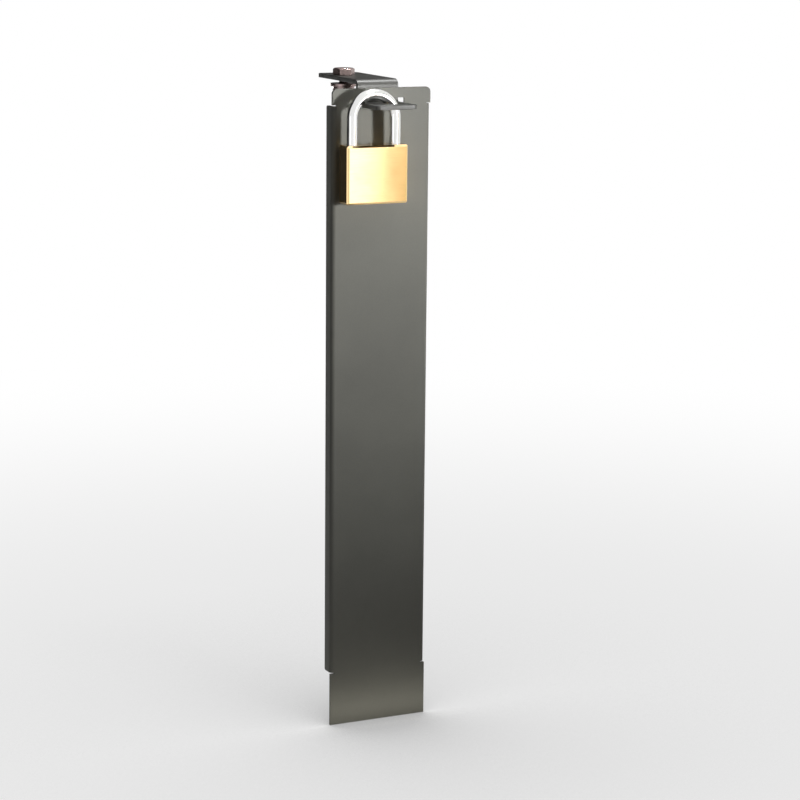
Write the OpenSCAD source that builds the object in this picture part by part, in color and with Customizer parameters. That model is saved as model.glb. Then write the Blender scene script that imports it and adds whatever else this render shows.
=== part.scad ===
// Lock bar for a filing or drawer cabinet, with its hasp bracket, bolt and padlock.
// The origin is on the underside of the bracket, on its centre line and level with the bolt.
// +X is to the right seen from the front, +Y goes back over the cabinet's top and +Z is up.
// All lengths are in millimetres. The padlock stands locked, as with its pins at the shear line.

/* [Lock bar] */
// Width across the two flanges
bar_w = 61; // [45:0.5:90]
// Length from the top edge to the foot
bar_l = 373; // [220:1:900]
// Thickness of the sheet
bar_t = 1.5; // [1:0.1:2.5]
// Depth of the flanges, sheet included
flange_d = 8.5; // [8:0.5:20]
// Inside radius of the two long bends
bar_bend_r = 1; // [0.5:0.1:2]
// Length of the flat tab above the flanges
top_tab_l = 9.7; // [9:0.1:25]
// Length of the flat tab below the flanges, which goes behind the cabinet's lip
foot_tab_l = 31.8; // [15:0.1:50]
// Radius of the two top corners
top_corner_r = 3; // [2:0.5:7]
// Radius of the flanges' rear corners
flange_corner_r = 1.2; // [1:0.1:6.5]
// Height of the relief notches at the flanges' ends
relief_h = 0.6; // [0.5:0.1:3]
// Height of the slot for the tongue
slot_h = 5.3; // [4.2:0.1:7]
// Space between the tongue and the slot's left end
slot_left_gap = 0.8; // [0.5:0.1:4]
// Space between the tongue and the slot's right end
slot_right_gap = 3.2; // [0.5:0.1:4]
// Space between the top of the slot and the tongue
slot_top_gap = 2.3; // [0.5:0.1:2.6]
// How far the bar's top edge lies below the bracket's seat
bar_below_seat = 2.3; // [1:0.1:4]
// Centre line of the bar to the right of the bracket's centre line
bar_right = 1.8; // [0:0.1:2.5]

/* [Hasp bracket] */
// Width of the strip
strip_w = 25.4; // [22:0.1:40]
// Thickness of the strip
strip_t = 2.4; // [1.6:0.1:2.8]
// Inside radius of the two bends
strip_bend_r = 1.2; // [0.8:0.1:2]
// Length of the seat from the cabinet's front edge to its rear end
seat_l = 54.5; // [46:0.5:80]
// Drop from the seat to the top of the tongue
tongue_drop = 10.3; // [9:0.1:14]
// Length of the tongue in front of the leg
tongue_l = 26.5; // [20:0.1:32]
// Radius of the strip's corners
strip_corner_r = 2.5; // [1:0.1:4]
// Diameter of the padlock hole
hasp_hole_d = 12; // [10:0.1:13]
// Padlock hole to the right of the centre line
hasp_hole_x = 4.4; // [0:0.1:5]
// Padlock hole ahead of the leg
hasp_hole_y = 11.6; // [10.8:0.1:14]

/* [Fixing bolt] */
// Diameter of the shank
bolt_d = 6.35; // [5:0.05:8]
// Length under the head
bolt_l = 16; // [15.5:0.1:25]
// Head and nut across the flats
hex_af = 11.1; // [10:0.1:13]
// Height of the head
head_h = 4.1; // [3:0.1:6]
// Height of the nut
nut_h = 5.6; // [4:0.1:5.8]
// Bolt behind the cabinet's front edge
bolt_y = 34; // [28:0.5:44]
// Bolt to the left of the centre line
bolt_x = 4.9; // [0:0.1:5]
// Turn of the head's flats
hex_turn = 46; // [0:1:59]
// Thickness of the cabinet's top that the bolt clamps
panel_t = 2.2; // [2.1:0.1:3]
// Thickness of the washers
washer_t = 1.6; // [1:0.1:2]
// Diameter of the flat washer
flat_washer_d = 15.9; // [13:0.1:20]
// Diameter of the lock washer
lock_washer_d = 12.4; // [10.5:0.1:14]

/* [Padlock case] */
// Width of the case
case_w = 38.1; // [38:0.1:46]
// Height of the case
case_h = 33; // [32.5:0.5:45]
// Thickness of the case
case_t = 11.5; // [11.4:0.1:13.5]
// Radius of the upright edges
case_edge_r = 1.8; // [0.5:0.1:3]
// Chamfer of the top and bottom edges
case_chamfer = 1.1; // [0.2:0.1:1.1]

/* [Shackle] */
// Diameter of the shackle
shackle_d = 6.2; // [5.5:0.1:6.6]
// From the sides of the case to the legs' centres
leg_inset = 5.8; // [5.6:0.05:6.8]
// Height of the bow's inner crown above the case
shackle_clear = 25.1; // [23:0.1:34]
// Height of the bow's inner crown above the tongue it hangs in
hook_rise = 2.3; // [2:0.1:4]
// Space between the bow and the rim of the hole it hangs on
hook_gap = 0.25; // [0.15:0.01:0.4]
// Length of the toe leg inside the case
toe_l = 7.5; // [7.2:0.1:8.5]
// How far the shackle lifts when it opens
lift = 8; // [7:0.1:8.2]
// Clearance round the legs in their bores, on the radius
leg_fit = 0.1; // [0.05:0.01:0.15]
// Depth left in the legs by the heel leg's flat and groove
heel_cut = 1.3; // [1:0.1:1.4]

/* [Plug and pins] */
// Diameter of the plug
plug_d = 9; // [8.6:0.1:9.4]
// Clearance round the plug, on the radius
plug_fit = 0.05; // [0.03:0.01:0.08]
// Distance between pin stacks
pin_pitch = 4; // [3.6:0.1:4.2]
// Diameter of the pins
pin_d = 2.6; // [2.2:0.1:2.8]
// Clearance round the pins, on the radius
pin_fit = 0.1; // [0.05:0.01:0.15]
// Length of the driver pins
driver_l = 3.6; // [3:0.1:5]
// Width of the keyway's slots
keyway_w = 1.2; // [1:0.1:1.4]
// Radius at which the drive pin stands
drive_r = 3; // [2.8:0.05:3.2]
// Diameter of the drive pin
drive_d = 1.6; // [1.4:0.1:1.8]

/* [Latch] */
// Diameter of the latch bolt
latch_d = 4; // [3.8:0.1:4.2]
// How far the latch bolt reaches into the toe leg
latch_bite = 0.8; // [0.6:0.05:0.9]
// Latch axis below the top of the case
latch_z = 3.6; // [3.4:0.1:3.8]
// Half height of the notch in the toe leg
notch_half_h = 2.8; // [2.6:0.1:3]
// Clearance round the latch bolt, on the radius
latch_fit = 0.05; // [0.03:0.01:0.1]

/* [Hidden] */
$fn = 64;
cut = 1;            // overrun of a cutting tool past the face it opens
skim = 0.01;        // overrun of a countersink, which would grow with a longer one
press_gap = 0.02;   // clearance on the radius of a pressed pin or plug
seat_gap = 0.1;     // gap at a spring's end

charcoal = [0.22, 0.22, 0.21];
brass = [0.83, 0.64, 0.30];
chrome = [0.82, 0.83, 0.85];
zinc = [0.45, 0.43, 0.42];
spring_steel = [0.62, 0.63, 0.65];

// The bracket's faces, seen from the side
leg_back = -bolt_y;
leg_front = leg_back - strip_t;
seat_back = leg_back + seat_l;
tongue_top = -tongue_drop;
tongue_under = tongue_top - strip_t;
tongue_end = leg_front - tongue_l;
strip_outer_r = strip_bend_r + strip_t;
bolt_hole_play = 0.75;
bolt_hole_d = bolt_d + bolt_hole_play;

// The bar hangs in front of the bracket's leg, with the tongue through its slot
bar_back = leg_front;
bar_face = bar_back - bar_t;
bar_top = -bar_below_seat;
bar_outer_r = bar_bend_r + bar_t;
slot_w = strip_w + slot_left_gap + slot_right_gap;
slot_x = (slot_right_gap - slot_left_gap) / 2;
slot_top = tongue_top + slot_top_gap;
slot_corner_r = 0.8;
flange_l = bar_l - top_tab_l - foot_tab_l;

// The stack on the bolt
flat_washer_top = -panel_t;
lock_washer_top = flat_washer_top - washer_t;
nut_top = lock_washer_top - washer_t;
lock_washer_hole_d = bolt_d + 0.45;
cone_top_r = 0.485 * hex_af;  // flat circle that the corner cone leaves on a head or nut
cone_run = 1.7;               // how far that cone widens per unit of height

// The padlock hangs with its bow against the left rim of the hole
shackle_r = shackle_d / 2;
bow_r = case_w / 2 - leg_inset;
bow_inner_r = bow_r - shackle_r;
bow_centre_z = tongue_top + hook_rise - bow_inner_r;
hook_h = tongue_top - bow_centre_z;
hook_half_w = sqrt(bow_inner_r * bow_inner_r - hook_h * hook_h);
pad_x = hasp_hole_x - hasp_hole_d / 2 + hook_gap - hook_half_w;
pad_y = leg_front - hasp_hole_y;
case_top = tongue_top + hook_rise - shackle_clear;
straight_l = bow_centre_z - case_top;

// Inside the case, heights are counted down from its top
toe_x = bow_r;
heel_x = -bow_r;
leg_bore_r = shackle_r + leg_fit;
toe_room = 0.5;
toe_bore_l = toe_l + toe_room;
heel_pin_r = 1;
heel_pin_play = 0.2;
heel_pin_x = heel_x + leg_bore_r;
heel_pin_z = -13.4;
heel_core_r = shackle_r - heel_cut;
heel_stop_gap = 0.3;
heel_flat_top = heel_pin_z + heel_pin_r + heel_stop_gap;
heel_groove_low = heel_pin_z - lift - heel_pin_r - heel_pin_play;
heel_groove_h = 2 * (heel_pin_r + heel_pin_play);
heel_collar_h = 1.8;
heel_end = heel_groove_low - heel_collar_h;
leg_end_chamfer = 0.5;
heel_spring_l = 5;
heel_bore_l = -heel_end + heel_spring_l;
heel_spring_d = 2 * leg_bore_r - 1;
cross_pin_wall = 1.5;
cross_pin_l = case_t - cross_pin_wall;
cross_pin_start = case_t / 2 - cross_pin_l;
cross_pin_sunk = 0.1;

plug_r = plug_d / 2;
plug_bore_r = plug_r + plug_fit;
latch_r = latch_d / 2;
latch_bore_r = latch_r + latch_fit;
plug_latch_gap = 0.7;
plug_top = -latch_z - latch_r - plug_latch_gap;
drive_reach = 0.6;
drive_top = -latch_z + drive_reach;
drive_room = 0.2;
cam_room_top = drive_top + drive_room;
keyway_top = -11.5;
keyway_step_l = 2.3;
dish_r = 2.6;
dish_depth = 0.5;
groove_h = 2;
groove_up = 3.6;
groove_z = -case_h + groove_up;
retainer_r = 0.8;
retainer_inset = 0.2;
retainer_x = -plug_r + retainer_inset;
groove_play = 0.15;
groove_r = -retainer_x - retainer_r - groove_play;

pin_count = 4;
chamber_r = pin_d / 2 + pin_fit;
chamber_in = 0.2;
first_pin_z = -14;
key_pin_in = [0.9, 1.7, 0.6, 1.3];
key_pin_point_l = 0.7;
key_pin_point_r = 0.5;
key_pin_sunk = 0.08;
shear_gap = 0.05;
driver_in = plug_bore_r + shear_gap;
driver_out = driver_in + driver_l;
side_plug_l = 2.5;
side_plug_in = case_w / 2 - side_plug_l;

toe_face_x = toe_x - shackle_r;
latch_tip = toe_face_x + latch_bite;
notch_play = 0.25;
notch_depth = latch_bite + notch_play;
notch_r = (notch_half_h * notch_half_h + notch_depth * notch_depth) / (2 * notch_depth);
latch_back = -5.4;
latch_slot_play = 0.15;
latch_slot_extra = 0.8;
latch_slot_left = drive_r - drive_d / 2 - latch_slot_play;
latch_slot_right = drive_r + drive_d / 2 + latch_slot_extra;
latch_slot_roof = 1;
spring_bore_r = 1.3;
spring_bore_end = -1.2;
latch_pocket_wall = 1.25;
latch_pocket_end = heel_x + leg_bore_r + latch_pocket_wall;
latch_plug_gap = 0.3;

// The coil springs
coil_steps = 12;
wire_sides = 6;
coil_play = 0.3;
fine_wire_d = 0.35;
heel_wire_d = 0.6;
latch_spring_turns = 7;
heel_spring_turns = 4;
pin_spring_turns = 6;

// Rectangle about the origin with round corners
module round_rect(w, h, r) {
  square([w - 2 * r, h], center = true);
  square([w, h - 2 * r], center = true);
  for (x = [-1, 1]) {
    for (y = [-1, 1]) {
      translate([x * (w / 2 - r), y * (h / 2 - r)]) circle(r);
    }
  }
}

// Rectangle about the origin with its four corners cut at 45 degrees
module chamfer_rect(w, h, c) {
  a = w / 2;
  b = h / 2;
  polygon([
    [c - a, -b], [a - c, -b], [a, c - b], [a, b - c],
    [a - c, b], [c - a, b], [-a, b - c], [-a, c - b]]);
}

// Quarter of a ring: sx and sy choose the quadrant
module bend(inner_r, outer_r, sx, sy) {
  intersection() {
    difference() {
      circle(outer_r);
      circle(inner_r);
    }
    translate([sx > 0 ? 0 : -outer_r, sy > 0 ? 0 : -outer_r]) square(outer_r);
  }
}

// Turns a side view, drawn as Y across and Z up, into a solid centred on X
module from_side(width) {
  translate([-width / 2, 0, 0]) rotate([90, 0, 90]) linear_extrude(width) children();
}

// Turns a front view, drawn as X across and Z up, into a solid from y0 back to y1
module from_front(y0, y1) {
  translate([0, y1, 0]) rotate([90, 0, 0]) linear_extrude(y1 - y0) children();
}

// Round bar along X from x0 to x1
module bar_x(r, x0, x1) {
  translate([x0, 0, 0]) rotate([0, 90, 0]) cylinder(h = x1 - x0, r = r);
}

// Round bar along Y from y0 to y1
module bar_y(r, y0, y1) {
  translate([0, y1, 0]) rotate([90, 0, 0]) cylinder(h = y1 - y0, r = r);
}

// Rectangle with its two front corners rounded, as a bent sheet's section has
module channel_outline(w, d, r) {
  translate([-w / 2, r]) square([w, d - r]);
  translate([-w / 2 + r, 0]) square([w - 2 * r, d - r]);
  for (s = [-1, 1]) translate([s * (w / 2 - r), r]) circle(r);
}

// Side view of the flanges: square at the front, round at the rear corners
module flange_outline() {
  square([flange_d - flange_corner_r, flange_l]);
  translate([0, flange_corner_r]) square([flange_d, flange_l - 2 * flange_corner_r]);
  for (z = [flange_corner_r, flange_l - flange_corner_r]) {
    translate([flange_d - flange_corner_r, z]) circle(flange_corner_r);
  }
}

// Folded part of the bar, from its lower end up
module bar_channel() {
  intersection() {
    linear_extrude(flange_l) {
      difference() {
        channel_outline(bar_w, flange_d, bar_outer_r);
        translate([0, bar_t]) channel_outline(bar_w - 2 * bar_t, flange_d, bar_bend_r);
      }
    }
    from_side(bar_w) flange_outline();
  }
}

// Flat of the bar from foot to top, with the two round corners at the top
module bar_plate() {
  from_front(0, bar_t) {
    translate([-bar_w / 2, 0]) square([bar_w, bar_l - top_corner_r]);
    translate([-bar_w / 2 + top_corner_r, 0]) square([bar_w - 2 * top_corner_r, bar_l]);
    for (s = [-1, 1]) translate([s * (bar_w / 2 - top_corner_r), bar_l - top_corner_r]) circle(top_corner_r);
  }
}

// Square corners of the plate beside the bends, with the relief notches at their ends
module bend_corners() {
  for (s = [-1, 1]) {
    translate([s * bar_w / 2, bar_outer_r / 2 - cut / 2, foot_tab_l + flange_l / 2]) {
      cube([2 * bar_outer_r, bar_outer_r + cut, flange_l + 2 * relief_h], center = true);
    }
  }
}

module lock_bar() {
  color(charcoal) translate([bar_right, bar_face, bar_top - bar_l]) {
    difference() {
      union() {
        difference() {
          bar_plate();
          bend_corners();
        }
        translate([0, 0, foot_tab_l]) bar_channel();
      }
      translate([slot_x - bar_right, 0, slot_top - slot_h / 2 - bar_top + bar_l]) {
        from_front(-cut, bar_t + cut) round_rect(slot_w, slot_h, slot_corner_r);
      }
    }
  }
}

// Side view of the strip: seat, leg and tongue with their two bends
module strip_outline() {
  translate([leg_back + strip_bend_r, 0]) square([seat_l - strip_bend_r, strip_t]);
  translate([leg_back + strip_bend_r, -strip_bend_r]) bend(strip_bend_r, strip_outer_r, -1, 1);
  translate([leg_front, tongue_top + strip_bend_r]) square([strip_t, tongue_drop - 2 * strip_bend_r]);
  translate([leg_front - strip_bend_r, tongue_top + strip_bend_r]) bend(strip_bend_r, strip_outer_r, 1, -1);
  translate([tongue_end, tongue_under]) square([tongue_l - strip_bend_r, strip_t]);
}

module hasp_bracket() {
  strip_top_view_l = seat_back - tongue_end;
  color(charcoal) difference() {
    intersection() {
      from_side(strip_w) strip_outline();
      translate([0, tongue_end + strip_top_view_l / 2, tongue_under - cut]) {
        linear_extrude(strip_t - tongue_under + 2 * cut) {
          round_rect(strip_w, strip_top_view_l, strip_corner_r);
        }
      }
    }
    translate([-bolt_x, 0, -cut]) cylinder(h = strip_t + 2 * cut, d = bolt_hole_d);
    translate([hasp_hole_x, pad_y, tongue_under - cut]) cylinder(h = strip_t + 2 * cut, d = hasp_hole_d);
  }
}

// Hexagon from z = 0 up, its top corners taken off by a cone
module hex_block(h) {
  corner_r = hex_af / 2 / cos(30);
  intersection() {
    rotate([0, 0, hex_turn]) cylinder(h = h, r = corner_r, $fn = 6);
    cylinder(h = h, r1 = cone_top_r + h * cone_run, r2 = cone_top_r);
  }
}

module fixing_bolt() {
  tip = 0.8;
  washer_face_h = 0.3;
  washer_face_d = 0.96 * hex_af;
  color(zinc) translate([-bolt_x, 0, strip_t]) {
    translate([0, 0, washer_face_h]) hex_block(head_h - washer_face_h);
    cylinder(h = washer_face_h, d = washer_face_d);
    translate([0, 0, tip - bolt_l]) cylinder(h = bolt_l - tip, d = bolt_d);
    translate([0, 0, -bolt_l]) cylinder(h = tip, r1 = bolt_d / 2 - tip, r2 = bolt_d / 2);
  }
}

// Ring of square wire with a slanting split
module lock_washer() {
  split_at = 200;
  split_slant = 25;
  split_w = 0.7;
  color(zinc) translate([-bolt_x, 0, lock_washer_top - washer_t]) difference() {
    cylinder(h = washer_t, d = lock_washer_d);
    translate([0, 0, -cut]) cylinder(h = washer_t + 2 * cut, d = lock_washer_hole_d);
    rotate([0, 0, split_at]) translate([lock_washer_d / 2, 0, washer_t / 2]) rotate([split_slant, 0, 0]) {
      cube([lock_washer_d, split_w, 4 * washer_t], center = true);
    }
  }
}

module flat_washer() {
  color(zinc) translate([-bolt_x, 0, flat_washer_top - washer_t]) difference() {
    cylinder(h = washer_t, d = flat_washer_d);
    translate([0, 0, -cut]) cylinder(h = washer_t + 2 * cut, d = bolt_hole_d);
  }
}

module hex_nut() {
  sink = 0.5;
  color(zinc) translate([-bolt_x, 0, nut_top]) mirror([0, 0, 1]) difference() {
    hex_block(nut_h);
    translate([0, 0, -cut]) cylinder(h = nut_h + 2 * cut, d = bolt_d + 2 * press_gap);
    translate([0, 0, nut_h - sink]) {
      cylinder(h = sink + skim, d1 = bolt_d, d2 = bolt_d + 2 * (sink + skim));
    }
  }
}

// Puts the padlock's own axes in place: origin at the middle of the case's top
module in_padlock() {
  translate([pad_x, pad_y, case_top]) children();
}

// Block with round upright edges and chamfers round its top and bottom
module case_block() {
  intersection() {
    translate([0, 0, -case_h]) linear_extrude(case_h) round_rect(case_w, case_t, case_edge_r);
    translate([0, 0, -case_h / 2]) from_front(-case_t, case_t) chamfer_rect(case_w, case_h, case_chamfer);
    translate([0, 0, -case_h / 2]) from_side(2 * case_w) chamfer_rect(case_t, case_h, case_chamfer);
  }
}

// Height of a pin stack, counted from the top one
function pin_z(i) = first_pin_z - (i - 1) * pin_pitch;

module padlock_case() {
  color(brass) in_padlock() difference() {
    case_block();
    // bores for the two legs
    translate([toe_x, 0, -toe_bore_l]) cylinder(h = toe_bore_l + cut, r = leg_bore_r);
    translate([heel_x, 0, -heel_bore_l]) cylinder(h = heel_bore_l + cut, r = leg_bore_r);
    // bore for the plug, with the room above it for the drive pin
    translate([0, 0, -case_h - cut]) cylinder(h = case_h + cut + cam_room_top, r = plug_bore_r);
    // bore for the latch and its spring, drilled from the toe side
    translate([0, 0, -latch_z]) bar_x(latch_bore_r, latch_pocket_end, case_w / 2 + cut);
    // pin chambers, drilled from the toe side
    for (i = [1:pin_count]) translate([0, 0, pin_z(i)]) bar_x(chamber_r, 0, case_w / 2 + cut);
    // cross holes for the heel pin and the plug's retainer, drilled from the back
    translate([heel_pin_x, 0, heel_pin_z]) {
      bar_y(heel_pin_r + press_gap, cross_pin_start, case_t / 2 + cut);
    }
    translate([retainer_x, 0, groove_z]) {
      bar_y(retainer_r + press_gap, cross_pin_start, case_t / 2 + cut);
    }
  }
}

// Leg from its lower end up to the bow, with a chamfered end
module leg(length) {
  full_l = length - leg_end_chamfer + straight_l;
  translate([0, 0, straight_l - full_l]) cylinder(h = full_l, r = shackle_r);
  translate([0, 0, -length]) cylinder(h = leg_end_chamfer, r1 = shackle_r - leg_end_chamfer, r2 = shackle_r);
}

// Half ring that joins the two legs
module bow() {
  translate([0, 0, straight_l]) rotate([90, 0, 0]) {
    rotate_extrude(angle = 180) translate([bow_r, 0]) circle(shackle_r, $fn = 48);
  }
}

module shackle() {
  color(chrome) in_padlock() difference() {
    union() {
      translate([toe_x, 0, 0]) leg(toe_l);
      translate([heel_x, 0, 0]) leg(-heel_end);
      bow();
    }
    // hollow in the toe leg for the latch
    translate([toe_face_x + notch_depth - notch_r, 0, -latch_z]) bar_y(notch_r, -case_t / 2, case_t / 2);
    // flat on the heel leg that slides past the heel pin
    translate([heel_x + heel_core_r, -case_t / 2, heel_groove_low]) {
      cube([shackle_d, case_t, heel_flat_top - heel_groove_low]);
    }
    // groove that lets the lifted shackle turn
    translate([heel_x, 0, heel_groove_low]) difference() {
      cylinder(h = heel_groove_h, r = shackle_r + cut);
      translate([0, 0, -cut]) cylinder(h = heel_groove_h + 2 * cut, r = heel_core_r);
    }
  }
}

// Keyway seen from below: three steps that a key's grooves follow
module keyway() {
  side = keyway_w / 3;
  for (i = [-1:1]) {
    translate([i * (keyway_step_l - side), i == 0 ? side : -side]) {
      square([keyway_step_l, keyway_w], center = true);
    }
  }
}

module plug() {
  color(brass) in_padlock() {
    difference() {
      translate([0, 0, -case_h]) cylinder(h = case_h + plug_top, r = plug_r);
      translate([0, 0, -case_h - cut]) linear_extrude(case_h + cut + keyway_top) keyway();
      translate([0, 0, groove_z - groove_h / 2]) difference() {
        cylinder(h = groove_h, r = plug_r + cut);
        translate([0, 0, -cut]) cylinder(h = groove_h + 2 * cut, r = groove_r);
      }
      for (i = [1:pin_count]) translate([0, 0, pin_z(i)]) bar_x(chamber_r, chamber_in, plug_r + cut);
      // shallow dish round the keyway's mouth
      translate([0, 0, -case_h - cut]) {
        cylinder(h = cut + dish_depth, r1 = dish_r + cut, r2 = dish_r - dish_depth);
      }
    }
    translate([drive_r, 0, plug_top - cut]) cylinder(h = drive_top - plug_top + cut, d = drive_d);
  }
}

module latch_bolt() {
  color(spring_steel) in_padlock() translate([0, 0, -latch_z]) difference() {
    union() {
      bar_x(latch_r, latch_back, latch_tip - latch_r);
      translate([latch_tip - latch_r, 0, 0]) sphere(latch_r);
    }
    // slot for the plug's drive pin, open below and at both sides
    translate([latch_slot_left, -latch_d, latch_slot_roof - latch_d]) {
      cube([latch_slot_right - latch_slot_left, 2 * latch_d, latch_d]);
    }
    // blind bore for the spring
    bar_x(spring_bore_r, latch_back - cut, spring_bore_end);
  }
}

// Corners of the wire's section at one step of a coil
function coil_ring(a, z, mean_r, wire_r) = [
  for (k = [0:wire_sides - 1])
    let (b = 360 * k / wire_sides, r = mean_r + wire_r * cos(b))
      [r * cos(a), r * sin(a), z + wire_r * sin(b)]];

// Helical spring along Z from z = 0, with square-cut ends
module coil_spring(outer_d, wire_d, length, turns) {
  wire_r = wire_d / 2;
  mean_r = outer_d / 2 - wire_r;
  steps = turns * coil_steps;
  rise = (length - wire_d) / steps;
  rings = [for (i = [0:steps]) coil_ring(360 * i / coil_steps, wire_r + i * rise, mean_r, wire_r)];
  points = [for (ring = rings) each ring];
  first_cap = [for (k = [wire_sides - 1:-1:0]) k];
  last_cap = [for (k = [0:wire_sides - 1]) steps * wire_sides + k];
  sides = [
    for (i = [0:steps - 1])
      for (k = [0:wire_sides - 1])
        let (a = i * wire_sides + k, b = i * wire_sides + (k + 1) % wire_sides)
          each [[a, b, b + wire_sides], [a, b + wire_sides, a + wire_sides]]];
  polyhedron(points = points, faces = concat([first_cap], sides, [last_cap]), convexity = 6);
}

module latch_spring() {
  start = latch_pocket_end + seat_gap;
  length = spring_bore_end - seat_gap - start;
  color(spring_steel) in_padlock() translate([start, 0, -latch_z]) rotate([0, 90, 0]) {
    coil_spring(2 * spring_bore_r - coil_play, fine_wire_d, length, latch_spring_turns);
  }
}

module heel_spring() {
  color(spring_steel) in_padlock() translate([heel_x, 0, -heel_bore_l + seat_gap]) {
    coil_spring(heel_spring_d, heel_wire_d, heel_spring_l - 2 * seat_gap, heel_spring_turns);
  }
}

module heel_pin() {
  color(spring_steel) in_padlock() translate([heel_pin_x, 0, heel_pin_z]) {
    bar_y(heel_pin_r, cross_pin_start + seat_gap, case_t / 2 - cross_pin_sunk);
  }
}

module plug_retainer() {
  color(spring_steel) in_padlock() translate([retainer_x, 0, groove_z]) {
    bar_y(retainer_r, cross_pin_start + seat_gap, case_t / 2 - cross_pin_sunk);
  }
}

module latch_bore_plug() {
  color(brass) in_padlock() translate([0, 0, -latch_z]) {
    bar_x(latch_bore_r - press_gap, toe_x + leg_bore_r + latch_plug_gap, case_w / 2);
  }
}

// Lower pin with its point in the keyway and its end rounded to the plug
module key_pin(i) {
  tip_x = key_pin_in[i - 1];
  color(brass) in_padlock() intersection() {
    translate([0, 0, pin_z(i)]) {
      bar_x(pin_d / 2, tip_x + key_pin_point_l, plug_r);
      translate([tip_x, 0, 0]) rotate([0, 90, 0]) {
        cylinder(h = key_pin_point_l, r1 = key_pin_point_r, r2 = pin_d / 2);
      }
    }
    translate([0, 0, -case_h]) cylinder(h = case_h, r = plug_r - key_pin_sunk);
  }
}

module driver_pin(i) {
  color(spring_steel) in_padlock() translate([0, 0, pin_z(i)]) bar_x(pin_d / 2, driver_in, driver_out);
}

module pin_spring(i) {
  length = side_plug_in - driver_out - 2 * seat_gap;
  color(spring_steel) in_padlock() translate([driver_out + seat_gap, 0, pin_z(i)]) rotate([0, 90, 0]) {
    coil_spring(2 * chamber_r - coil_play, fine_wire_d, length, pin_spring_turns);
  }
}

module chamber_plug(i) {
  color(brass) in_padlock() translate([0, 0, pin_z(i)]) {
    bar_x(chamber_r - press_gap, side_plug_in, case_w / 2);
  }
}

lock_bar();
hasp_bracket();
fixing_bolt();
lock_washer();
flat_washer();
hex_nut();
padlock_case();
shackle();
plug();
latch_bolt();
latch_spring();
heel_spring();
heel_pin();
plug_retainer();
latch_bore_plug();
key_pin(1);  // key_pin_1
key_pin(2);  // key_pin_2
key_pin(3);  // key_pin_3
key_pin(4);  // key_pin_4
driver_pin(1);  // driver_pin_1
driver_pin(2);  // driver_pin_2
driver_pin(3);  // driver_pin_3
driver_pin(4);  // driver_pin_4
pin_spring(1);  // pin_spring_1
pin_spring(2);  // pin_spring_2
pin_spring(3);  // pin_spring_3
pin_spring(4);  // pin_spring_4
chamber_plug(1);  // chamber_plug_1
chamber_plug(2);  // chamber_plug_2
chamber_plug(3);  // chamber_plug_3
chamber_plug(4);  // chamber_plug_4
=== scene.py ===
"""Looks of the cabinet lock bar: folded steel bar, hasp bracket, bolt and brass padlock."""

import math

import bmesh
import bpy
from mathutils import Matrix, Vector


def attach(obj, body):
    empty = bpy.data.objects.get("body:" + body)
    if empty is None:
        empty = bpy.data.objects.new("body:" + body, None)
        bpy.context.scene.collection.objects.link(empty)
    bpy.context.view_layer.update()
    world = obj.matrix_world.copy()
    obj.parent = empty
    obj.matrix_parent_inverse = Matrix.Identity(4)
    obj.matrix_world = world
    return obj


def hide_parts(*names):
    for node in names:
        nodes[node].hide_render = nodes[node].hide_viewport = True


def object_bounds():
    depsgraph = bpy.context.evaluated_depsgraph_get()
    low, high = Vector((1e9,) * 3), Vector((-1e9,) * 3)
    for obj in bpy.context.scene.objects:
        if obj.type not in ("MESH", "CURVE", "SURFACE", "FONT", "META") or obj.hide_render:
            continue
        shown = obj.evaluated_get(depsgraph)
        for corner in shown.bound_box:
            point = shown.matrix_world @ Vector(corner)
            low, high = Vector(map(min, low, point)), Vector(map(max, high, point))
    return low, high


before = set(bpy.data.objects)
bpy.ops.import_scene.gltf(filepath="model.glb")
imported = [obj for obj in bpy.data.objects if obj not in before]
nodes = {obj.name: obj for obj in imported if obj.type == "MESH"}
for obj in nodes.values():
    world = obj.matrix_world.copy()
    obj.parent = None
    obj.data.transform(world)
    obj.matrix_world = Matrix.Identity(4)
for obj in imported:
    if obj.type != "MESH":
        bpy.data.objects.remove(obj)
cad_box = [list(corner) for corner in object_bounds()]
scene = bpy.context.scene
MM = 0.001

# Camera, fitted to the edges of the bar
AIM = Vector((16.74, -34.0, -184.13)) * MM
CAMERA_DISTANCE = 1.45476
AZIMUTH = math.radians(-25.509)
ELEVATION = math.radians(11.516)
ROLL = math.radians(0.539)
LENS = 112.293
SENSOR_WIDTH = 36.0
NEAR_CLIP, FAR_CLIP = 0.05, 60.0

# Places on the object that the studio is built round
FLOOR_GAP = 0.3 * MM
FLOOR_Z = cad_box[0][2] - FLOOR_GAP
BAR_FACE_Y = -0.038
BAR_MIDDLE_Z = -0.17
BEND_TOP = (0.0, -0.04, 0.0)
CASE_MIDDLE = (-0.008, -0.054, -0.05)

# Strengths and colours in the studio
WORLD_LIGHT = 0.045
CARD_GREY = 0.16
EDGE_GLOW = (0.9, 0.9, 1.0)

# Floor paper: how white it shows near the object and away from it, and the painted shadow at the foot,
# where occlusion dims the paper's glow
PAPER = (0.82, 0.82, 0.81, 1.0)
NEAR_REACH, FAR_REACH = 0.15, 1.1
NEAR_WHITE, FAR_WHITE = 0.78, 1.0
SHADOW_REACH = 0.3
SHADOW_OPENNESS = 0.45
SHADOW_DEPTH = 0.35

# Edges of the pieces
SHARP_EDGE = math.radians(28.0)
SMOOTH_UNDER = math.radians(40.0)
FLAT_ENOUGH = math.radians(0.6)
SAME_POINT = 0.002 * MM

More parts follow.
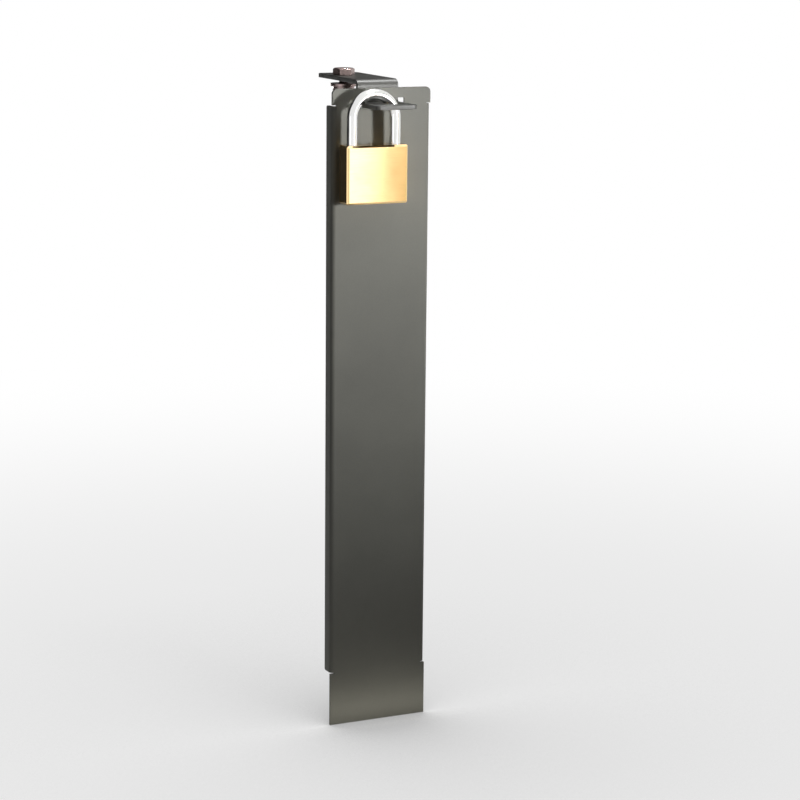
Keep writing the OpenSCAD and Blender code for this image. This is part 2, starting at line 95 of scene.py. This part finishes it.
# Thread of the bolt, a 1/4 in one with 20 turns to the inch
BOLT_X = -4.9 * MM
SHANK_RADIUS = 3.175 * MM
THREAD_PITCH = 1.27 * MM
THREAD_CREST = 3.15 * MM
THREAD_ROOT = 2.55 * MM
THREAD_HALF_WIDTH = THREAD_PITCH * 0.49
THREAD_START_Z = -12.6 * MM
THREAD_TURNS = 9
STEPS_PER_TURN = 32
NECK_TOP_Z = 0.6 * MM
NECK_MIDDLE_Z = 0.3 * MM
NECK_FOOT_Z = 0.1 * MM


def deselect():
    if bpy.context.mode != "OBJECT":
        bpy.ops.object.mode_set(mode="OBJECT")
    bpy.ops.object.select_all(action="DESELECT")


# Camera and lamps
def make_camera():
    data = bpy.data.cameras.new("view_camera")
    data.lens = LENS
    data.sensor_width = SENSOR_WIDTH
    data.clip_start = NEAR_CLIP
    data.clip_end = FAR_CLIP
    camera = bpy.data.objects.new("view_camera", data)
    scene.collection.objects.link(camera)
    level = math.cos(ELEVATION)
    back = Vector((math.sin(AZIMUTH) * level, -math.cos(AZIMUTH) * level, math.sin(ELEVATION)))
    right = Vector((math.cos(AZIMUTH), math.sin(AZIMUTH), 0.0))
    up = back.cross(right)
    c, s = math.cos(ROLL), math.sin(ROLL)
    right, up = right * c + up * s, up * c - right * s
    turn = Matrix((right, up, back)).transposed().to_4x4()
    camera.matrix_world = Matrix.Translation(AIM + back * CAMERA_DISTANCE) @ turn
    scene.camera = camera


def facing(place, target):
    """The turn that points a lamp or a card from its place to its target."""
    return (Vector(target) - Vector(place)).to_track_quat("-Z", "Y").to_euler()


def area_light(name, place, target, size, watts, spread=180.0, colour=(1.0, 1.0, 1.0)):
    """A lamp that the camera doesn't see itself."""
    data = bpy.data.lights.new(name, "AREA")
    data.shape = "RECTANGLE"
    data.size, data.size_y = size
    data.energy = watts
    data.spread = math.radians(spread)
    data.color = colour
    lamp = bpy.data.objects.new(name, data)
    scene.collection.objects.link(lamp)
    lamp.location = place
    lamp.rotation_euler = facing(place, target)
    lamp.visible_camera = False
    return lamp


def round_the_bar(azimuth, distance, z):
    """A place round the bar: azimuth 0 is straight in front, positive to the right."""
    a = math.radians(azimuth)
    return (math.sin(a) * distance, BAR_FACE_Y - math.cos(a) * distance, z)


def make_lights():
    """Two narrow lamps give the bar its fall of tone to the foot, and each other lamp lights one form."""
    area_light("key_box", round_the_bar(30, 1.1, 0.02), (0.0, BAR_FACE_Y, 0.0),
               size=(0.14, 0.11), watts=0.45, spread=33.0)
    area_light("case_glow", (0.378, -1.054, -0.172), (0.378, 0.0, -0.172),
               size=(0.17, 0.17), watts=0.135, colour=(1.0, 0.96, 1.2))
    area_light("over_box", (0.25, -0.75, 0.95), (0.0, -0.04, -0.01),
               size=(0.3, 0.3), watts=0.09, spread=36.0)
    area_light("behind_box", (0.15, 1.3, BAR_MIDDLE_Z), (0.0, 0.0, BAR_MIDDLE_Z),
               size=(0.6, 0.3), watts=4.0)
    side = area_light("left_fill", (-1.4, 0.05, -0.12), (-0.028, -0.03, -0.15),
                      size=(0.3, 0.4), watts=1.2)
    glint = area_light("bend_glint", (0.2, -0.15, 0.95), BEND_TOP,
                       size=(0.2, 0.2), watts=42.0)
    foot = area_light("foot_bounce", (0.0018, -0.055, -0.3725), (0.0018, -0.046, -0.3595),
                      size=(0.1, 0.006), watts=0.0082, colour=(1.0, 0.96, 0.86))
    side.visible_glossy = False
    foot.visible_glossy = False
    glint.visible_diffuse = False


# World, cards and floor
def seen_rays(tree):
    """1 where a ray comes from the camera, a mirror-like surface or glass."""
    path = tree.nodes.new("ShaderNodeLightPath")
    seen = path.outputs["Is Camera Ray"]
    for kind in ("Is Glossy Ray", "Is Transmission Ray"):
        either = tree.nodes.new("ShaderNodeMath")
        either.operation = "MAXIMUM"
        tree.links.new(seen, either.inputs[0])
        tree.links.new(path.outputs[kind], either.inputs[1])
        seen = either.outputs[0]
    return seen


def lit_or_seen(tree, factor, lit, seen, output_kind):
    """Lights the object with one shader and shows the other, by the factor, to the rays that see it."""
    mix = tree.nodes.new("ShaderNodeMixShader")
    out = tree.nodes.new(output_kind)
    tree.links.new(factor, mix.inputs[0])
    tree.links.new(lit, mix.inputs[1])
    tree.links.new(seen, mix.inputs[2])
    tree.links.new(mix.outputs[0], out.inputs["Surface"])


def white_background(tree, strength):
    node = tree.nodes.new("ShaderNodeBackground")
    node.inputs["Color"].default_value = (1.0, 1.0, 1.0, 1.0)
    node.inputs["Strength"].default_value = strength
    return node.outputs[0]


def make_world():
    world = bpy.data.worlds.new("studio")
    scene.world = world
    world.use_nodes = True
    tree = world.node_tree
    tree.nodes.clear()
    light = white_background(tree, WORLD_LIGHT)
    white = white_background(tree, 1.0)
    lit_or_seen(tree, seen_rays(tree), light, white, "ShaderNodeOutputWorld")


def plane(name, size, place, turn):
    deselect()
    bpy.ops.mesh.primitive_plane_add(size=size, location=place, rotation=turn)
    added = bpy.context.object
    added.name = name
    return added


def show_in_shine_alone(card):
    """Only a shining face sees the card, which casts no shadow."""
    card.visible_camera = False
    card.visible_diffuse = False
    card.visible_shadow = False
    card.visible_transmission = False


def card_finish(name, grey):
    """A finish without gloss, and the shader that makes it."""
    mat = bpy.data.materials.new(name)
    mat.use_nodes = True
    shader = mat.node_tree.nodes["Principled BSDF"]
    shader.inputs["Base Color"].default_value = (grey, grey, grey, 1.0)
    shader.inputs["Specular IOR Level"].default_value = 0.0
    return mat, shader


def dark_card(name, mat, width, height, place, turn):
    """A standing dark card behind the object."""
    card = plane(name, 1.0, place, (math.radians(90.0), 0.0, math.radians(turn)))
    card.scale = (width, height, 1.0)
    show_in_shine_alone(card)
    card.data.materials.append(mat)


def make_dark_cards():
    mat, shader = card_finish("black_card", CARD_GREY)
    shader.inputs["Roughness"].default_value = 0.9
    dark_card("left_card", mat, 2.6, 2.6, (-1.2, 1.15, 0.6), 46.0)
    dark_card("back_card", mat, 2.0, 1.3, (0.75, 1.8, 0.66), 0.0)


def glow_card(name, size, place, target, colour, strength):
    """A softly glowing square card, turned from its place toward its target."""
    card = plane(name, size, place, facing(place, target))
    show_in_shine_alone(card)
    mat, shader = card_finish(name, 0.0)
    shader.inputs["Emission Color"].default_value = (*colour, 1.0)
    shader.inputs["Emission Strength"].default_value = strength
    card.data.materials.append(mat)


def make_glow_cards():
    glow_card("warm_card", 0.55, (0.745, -1.1, BAR_MIDDLE_Z), (0.745, 0.0, BAR_MIDDLE_Z),
              colour=(0.93, 0.8, 0.6), strength=0.95)
    glow_card("left_edge_card", 0.4, (-1.0, -0.51, BAR_MIDDLE_Z), CASE_MIDDLE,
              colour=EDGE_GLOW, strength=1.7)
    glow_card("top_edge_card", 0.3, (0.4, -0.17, 0.9), CASE_MIDDLE,
              colour=EDGE_GLOW, strength=1.7)


def map_range(tree, value, low, high, to_low, to_high):
    node = tree.nodes.new("ShaderNodeMapRange")
    node.inputs["From Min"].default_value = low
    node.inputs["From Max"].default_value = high
    node.inputs["To Min"].default_value = to_low
    node.inputs["To Max"].default_value = to_high
    tree.links.new(value, node.inputs["Value"])
    return node


def make_floor():
    """White paper whose glow is dimmed near the object by a painted shadow from occlusion, and fades to
    plain white away from it.
    """
    floor = plane("floor", 24.0, (0.0, 0.0, FLOOR_Z), (0.0, 0.0, 0.0))
    mat = bpy.data.materials.new("floor_paper")
    mat.use_nodes = True
    tree = mat.node_tree
    tree.nodes.clear()
    paper = tree.nodes.new("ShaderNodeBsdfDiffuse")
    paper.inputs["Color"].default_value = PAPER
    glow = tree.nodes.new("ShaderNodeEmission")
    # Occlusion dims the glow where the floor is closed in by the object: a painted shadow, not one cast by
    # a lamp.
    painted_shade_ao = tree.nodes.new("ShaderNodeAmbientOcclusion")
    painted_shade_ao.samples = 4
    painted_shade_ao.inputs["Distance"].default_value = SHADOW_REACH
    shadow = map_range(tree, painted_shade_ao.outputs["AO"], SHADOW_OPENNESS, 1.0, SHADOW_DEPTH, 1.0)
    tree.links.new(shadow.outputs["Result"], glow.inputs["Strength"])
    coord = tree.nodes.new("ShaderNodeTexCoord")
    reach = tree.nodes.new("ShaderNodeVectorMath")
    reach.operation = "LENGTH"
    tree.links.new(coord.outputs["Object"], reach.inputs[0])
    fade = map_range(tree, reach.outputs["Value"], NEAR_REACH, FAR_REACH, NEAR_WHITE, FAR_WHITE)
    fade.interpolation_type = "SMOOTHSTEP"
    share = tree.nodes.new("ShaderNodeMath")
    share.operation = "MULTIPLY"
    tree.links.new(seen_rays(tree), share.inputs[0])
    tree.links.new(fade.outputs["Result"], share.inputs[1])
    lit_or_seen(tree, share.outputs[0], paper.outputs[0], glow.outputs[0], "ShaderNodeOutputMaterial")
    floor.data.materials.append(mat)


# Finishes
def srgb(r, g, b):
    """Linear colour from 0-255 values as read off a screen."""
    out = []
    for v in (r, g, b):
        v /= 255.0
        out.append(v / 12.92 if v <= 0.04045 else ((v + 0.055) / 1.055) ** 2.4)
    return (*out, 1.0)


class Finish:
    """A material under construction: a shader and the nodes that feed it."""

    def __init__(self, name):
        self.mat = bpy.data.materials.new(name)
        self.mat.use_nodes = True
        self.tree = self.mat.node_tree
        self.tree.nodes.clear()
        self.shader = self.tree.nodes.new("ShaderNodeBsdfPrincipled")
        out = self.tree.nodes.new("ShaderNodeOutputMaterial")
        self.link(self.shader.outputs[0], out.inputs["Surface"])
        self.coord = self.tree.nodes.new("ShaderNodeTexCoord").outputs["Object"]
        self.bump_out = None

    def link(self, a, b):
        self.tree.links.new(a, b)

    def stretched(self, scale):
        """Object coordinates stretched by a scale per axis, for grain that runs one way."""
        mapping = self.tree.nodes.new("ShaderNodeMapping")
        mapping.inputs["Scale"].default_value = scale
        self.link(self.coord, mapping.inputs["Vector"])
        return mapping.outputs["Vector"]

    def noise(self, scale, detail, rough, coord=None):
        node = self.tree.nodes.new("ShaderNodeTexNoise")
        node.inputs["Scale"].default_value = scale
        node.inputs["Detail"].default_value = detail
        node.inputs["Roughness"].default_value = rough
        self.link(coord or self.coord, node.inputs["Vector"])
        return node.outputs["Fac"]

    def remap(self, value, low, high, to_low, to_high):
        return map_range(self.tree, value, low, high, to_low, to_high).outputs["Result"]

    def mix_colour(self, fac, a, b):
        node = self.tree.nodes.new("ShaderNodeMix")
        node.data_type = "RGBA"
        self.link(fac, node.inputs["Factor"])
        for socket, colour in ((node.inputs[6], a), (node.inputs[7], b)):
            if isinstance(colour, tuple):
                socket.default_value = colour
            else:
                self.link(colour, socket)
        return node.outputs[2]

    def reckon(self, operation, a, b):
        node = self.tree.nodes.new("ShaderNodeMath")
        node.operation = operation
        for socket, value in ((node.inputs[0], a), (node.inputs[1], b)):
            if isinstance(value, (int, float)):
                socket.default_value = value
            else:
                self.link(value, socket)
        return node.outputs[0]

    def total(self, a, b):
        return self.reckon("ADD", a, b)

    def product(self, a, b):
        return self.reckon("MULTIPLY", a, b)

    def bump(self, height, strength, distance):
        node = self.tree.nodes.new("ShaderNodeBump")
        node.inputs["Strength"].default_value = strength
        node.inputs["Distance"].default_value = distance
        self.link(height, node.inputs["Height"])
        if self.bump_out is not None:
            self.link(self.bump_out, node.inputs["Normal"])
        self.bump_out = node.outputs["Normal"]
        self.link(self.bump_out, self.shader.inputs["Normal"])

    def worn_edge(self, radius, low, high):
        """1 along convex edges, from how far a rounded normal turns away from the true one."""
        bevel = self.tree.nodes.new("ShaderNodeBevel")
        bevel.samples = 4
        bevel.inputs["Radius"].default_value = radius
        geometry = self.tree.nodes.new("ShaderNodeNewGeometry")
        dot = self.tree.nodes.new("ShaderNodeVectorMath")
        dot.operation = "DOT_PRODUCT"
        self.link(bevel.outputs["Normal"], dot.inputs[0])
        self.link(geometry.outputs["Normal"], dot.inputs[1])
        return self.remap(dot.outputs["Value"], high, low, 0.0, 1.0)

    def put(self, socket, value):
        if isinstance(value, (int, float, tuple)):
            self.shader.inputs[socket].default_value = value
        else:
            self.link(value, self.shader.inputs[socket])


def charcoal_paint(name, dark, light, roughness, gloss):
    """Satin powder coat: fine orange peel, faint mottle, thin paint on the edges."""
    coat = Finish(name)
    mottle = coat.remap(coat.noise(22.0, 3.0, 0.55), 0.3, 0.7, 0.0, 0.7)
    speck = coat.remap(coat.noise(2600.0, 1.0, 0.5), 0.35, 0.65, 0.0, 0.3)
    base = coat.mix_colour(coat.total(mottle, speck), dark, light)
    patches = coat.remap(coat.noise(140.0, 4.0, 0.6), 0.35, 0.7, 0.2, 1.0)
    thin = coat.product(coat.worn_edge(0.5 * MM, 0.93, 0.995), patches)
    coat.put("Base Color", coat.mix_colour(coat.product(thin, 0.5), base, srgb(104, 103, 97)))
    satin = coat.remap(coat.noise(60.0, 4.0, 0.6), 0.3, 0.7, roughness - 0.03, roughness + 0.03)
    coat.put("Roughness", coat.total(satin, coat.product(thin, -0.08)))
    coat.put("Specular IOR Level", gloss)
    coat.bump(coat.noise(900.0, 2.0, 0.5), 0.18, 0.04 * MM)
    coat.bump(coat.noise(3200.0, 1.0, 0.5), 0.12, 0.01 * MM)
    return coat.mat


def brushed_brass(name, pale, deep, grain_scale, roughness):
    """Brass with a grain that runs across the axis of the largest scale, and broad faint clouds."""
    brass = Finish(name)
    grain = brass.noise(1.0, 3.0, 0.6, brass.stretched(grain_scale))
    broad = brass.noise(55.0, 3.0, 0.55)
    tone = brass.total(brass.remap(grain, 0.3, 0.7, 0.0, 0.45), brass.remap(broad, 0.3, 0.7, 0.0, 0.55))
    brass.put("Base Color", brass.mix_colour(tone, pale, deep))
    brass.put("Metallic", 1.0)
    fine = brass.remap(grain, 0.3, 0.7, roughness - 0.02, roughness + 0.03)
    brass.put("Roughness", brass.total(fine, brass.remap(broad, 0.3, 0.7, -0.01, 0.015)))
    brass.bump(grain, 0.10, 0.01 * MM)
    return brass.mat


def plated_steel(name, pale, deep, roughness, scratch, mottle):
    """Plating with clouds of the mottle's scale and fine scratches."""
    plating = Finish(name)
    cloud = plating.noise(mottle, 4.0, 0.6)
    fine = plating.noise(700.0, 2.0, 0.5)
    plating.put("Base Color", plating.mix_colour(plating.remap(cloud, 0.3, 0.7, 0.0, 1.0), pale, deep))
    plating.put("Metallic", 1.0)
    dull = plating.remap(plating.total(cloud, fine), 0.7, 1.3, roughness * 0.8, roughness * 1.25)
    plating.put("Roughness", dull)
    plating.bump(fine, scratch, 0.01 * MM)
    return plating.mat


RECIPES = {
    "bar_paint": (charcoal_paint, srgb(114, 114, 108), srgb(124, 124, 117), 0.47, 0.1),
    "bracket_paint": (charcoal_paint, srgb(78, 78, 75), srgb(88, 88, 84), 0.40, 0.24),
    "bolt_steel": (plated_steel, srgb(156, 138, 134), srgb(116, 102, 99), 0.3, 0.16, 200.0),
    "case_brass": (brushed_brass, srgb(243, 212, 156), srgb(236, 200, 140), (120.0, 120.0, 4000.0), 0.075),
    "plug_brass": (brushed_brass, srgb(226, 192, 120), srgb(206, 166, 92), (900.0, 900.0, 900.0), 0.3),
    "shackle_chrome": (plated_steel, srgb(236, 236, 234), srgb(224, 224, 222), 0.1, 0.04, 30.0),
    "pin_steel": (plated_steel, srgb(190, 190, 188), srgb(160, 160, 158), 0.28, 0.08, 200.0),
}


def dress_nodes(finishes):
    """Each node's packed material carries its slot's name, and gives way to the finish of that name."""
    for node in nodes.values():
        for index, packed in enumerate(node.data.materials):
            node.data.materials[index] = finishes[packed.name.split(".")[0]]


# Pieces
def level_shading(piece):
    """Smooth shading that keeps the large flat faces flat right up to their rounded edges."""
    bpy.ops.object.shade_smooth_by_angle(angle=SMOOTH_UNDER)
    level = piece.modifiers.new("level_faces", "WEIGHTED_NORMAL")
    level.weight = 100
    level.keep_sharp = True
    bpy.ops.object.modifier_apply(modifier=level.name)


def softened(name, piece_name, width, segments=2):
    """A node's own shape with its loose triangles joined and its sharp edges rounded over."""
    deselect()
    node = nodes[name]
    piece = node.copy()
    piece.data = node.data.copy()
    piece.name = piece_name
    piece.data.name = piece_name
    piece.parent = None
    scene.collection.objects.link(piece)
    piece.select_set(True)
    bpy.context.view_layer.objects.active = piece
    bpy.ops.mesh.customdata_custom_splitnormals_clear()
    bpy.ops.object.mode_set(mode="EDIT")
    bpy.ops.mesh.select_all(action="SELECT")
    bpy.ops.mesh.remove_doubles(threshold=SAME_POINT)
    bpy.ops.mesh.dissolve_limited(angle_limit=FLAT_ENOUGH)
    bpy.ops.mesh.select_all(action="DESELECT")
    bpy.ops.mesh.select_mode(type="EDGE")
    bm = bmesh.from_edit_mesh(piece.data)
    for edge in bm.edges:
        if len(edge.link_faces) == 2 and edge.calc_face_angle() > SHARP_EDGE:
            edge.select_set(True)
    bmesh.update_edit_mesh(piece.data)
    bpy.ops.mesh.bevel(offset=width * MM, segments=segments, profile=0.5, clamp_overlap=True)
    bpy.ops.object.mode_set(mode="OBJECT")
    level_shading(piece)
    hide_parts(name)
    return piece


def placed(piece, body):
    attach(piece, body)


def thinned_shank(bolt):
    """Draws the shank in to the thread's root, with a short cone below the plain neck."""
    bpy.ops.object.mode_set(mode="EDIT")
    for height in (NECK_TOP_Z, NECK_FOOT_Z):
        bpy.ops.mesh.select_all(action="SELECT")
        bpy.ops.mesh.bisect(plane_co=(0.0, 0.0, height), plane_no=(0.0, 0.0, 1.0))
    bpy.ops.mesh.select_all(action="DESELECT")
    bpy.ops.mesh.select_mode(type="VERT")
    bm = bmesh.from_edit_mesh(bolt.data)
    for vert in bm.verts:
        vert.select_set(vert.co.z < NECK_MIDDLE_Z)
    bmesh.update_edit_mesh(bolt.data)
    thin = THREAD_ROOT / SHANK_RADIUS
    bpy.ops.transform.resize(value=(thin, thin, 1.0), center_override=(BOLT_X, 0.0, 0.0))
    bpy.ops.object.mode_set(mode="OBJECT")


def wound_thread(steel):
    """A small diamond, half of it inside the shank, wound up along the shank."""
    deselect()
    bpy.ops.mesh.primitive_circle_add(vertices=4, radius=1.0, rotation=(math.radians(90.0), 0.0, 0.0))
    thread = bpy.context.object
    thread.name = "bolt_thread"
    bpy.ops.object.transform_apply(location=False, rotation=True, scale=False)
    bpy.ops.object.mode_set(mode="EDIT")
    bpy.ops.mesh.select_all(action="SELECT")
    diamond = (THREAD_CREST - THREAD_ROOT, 1.0, THREAD_HALF_WIDTH)
    bpy.ops.transform.resize(value=diamond, center_override=(0.0, 0.0, 0.0))
    bpy.ops.transform.translate(value=(THREAD_ROOT, 0.0, THREAD_START_Z))
    bpy.ops.object.mode_set(mode="OBJECT")
    wind = thread.modifiers.new("wind", "SCREW")
    wind.axis = "Z"
    wind.angle = math.radians(360.0)
    wind.screw_offset = THREAD_PITCH
    wind.iterations = THREAD_TURNS
    wind.steps = STEPS_PER_TURN
    wind.render_steps = STEPS_PER_TURN
    bpy.ops.object.modifier_apply(modifier=wind.name)
    bpy.ops.object.mode_set(mode="EDIT")
    bpy.ops.mesh.select_all(action="SELECT")
    bpy.ops.mesh.fill_holes(sides=4)
    bpy.ops.mesh.normals_make_consistent(inside=False)
    bpy.ops.transform.translate(value=(BOLT_X, 0.0, 0.0))
    bpy.ops.object.mode_set(mode="OBJECT")
    bpy.ops.object.shade_flat()
    thread.data.materials.append(steel)
    return thread


def threaded_bolt(steel):
    """The bolt with its shank cut down to the thread's root and the thread wound round it."""
    bolt = softened("fixing_bolt", "hex_bolt", 0.2)
    thinned_shank(bolt)
    thread = wound_thread(steel)
    deselect()
    thread.select_set(True)
    bolt.select_set(True)
    bpy.context.view_layer.objects.active = bolt
    bpy.ops.object.join()
    return bolt


make_camera()
make_world()
make_floor()
make_dark_cards()
make_glow_cards()
make_lights()
finishes = {name: make(name, *recipe) for name, (make, *recipe) in RECIPES.items()}
dress_nodes(finishes)

placed(softened("lock_bar", "bar_sheet", 0.25), "cabinet_fixing")
placed(softened("hasp_bracket", "bracket_strip", 0.4, 3), "cabinet_fixing")
placed(threaded_bolt(finishes["bolt_steel"]), "cabinet_fixing")
placed(softened("hex_nut", "clamp_nut", 0.2), "cabinet_fixing")
placed(softened("flat_washer", "broad_washer", 0.25), "cabinet_fixing")
placed(softened("lock_washer", "split_washer", 0.15), "cabinet_fixing")
placed(softened("padlock_case", "padlock_block", 0.35, 3), "case")
placed(softened("shackle", "shackle_bow", 0.2), "shackle")
placed(softened("plug", "key_plug", 0.12, 1), "plug")

scene.view_settings.view_transform = "Standard"
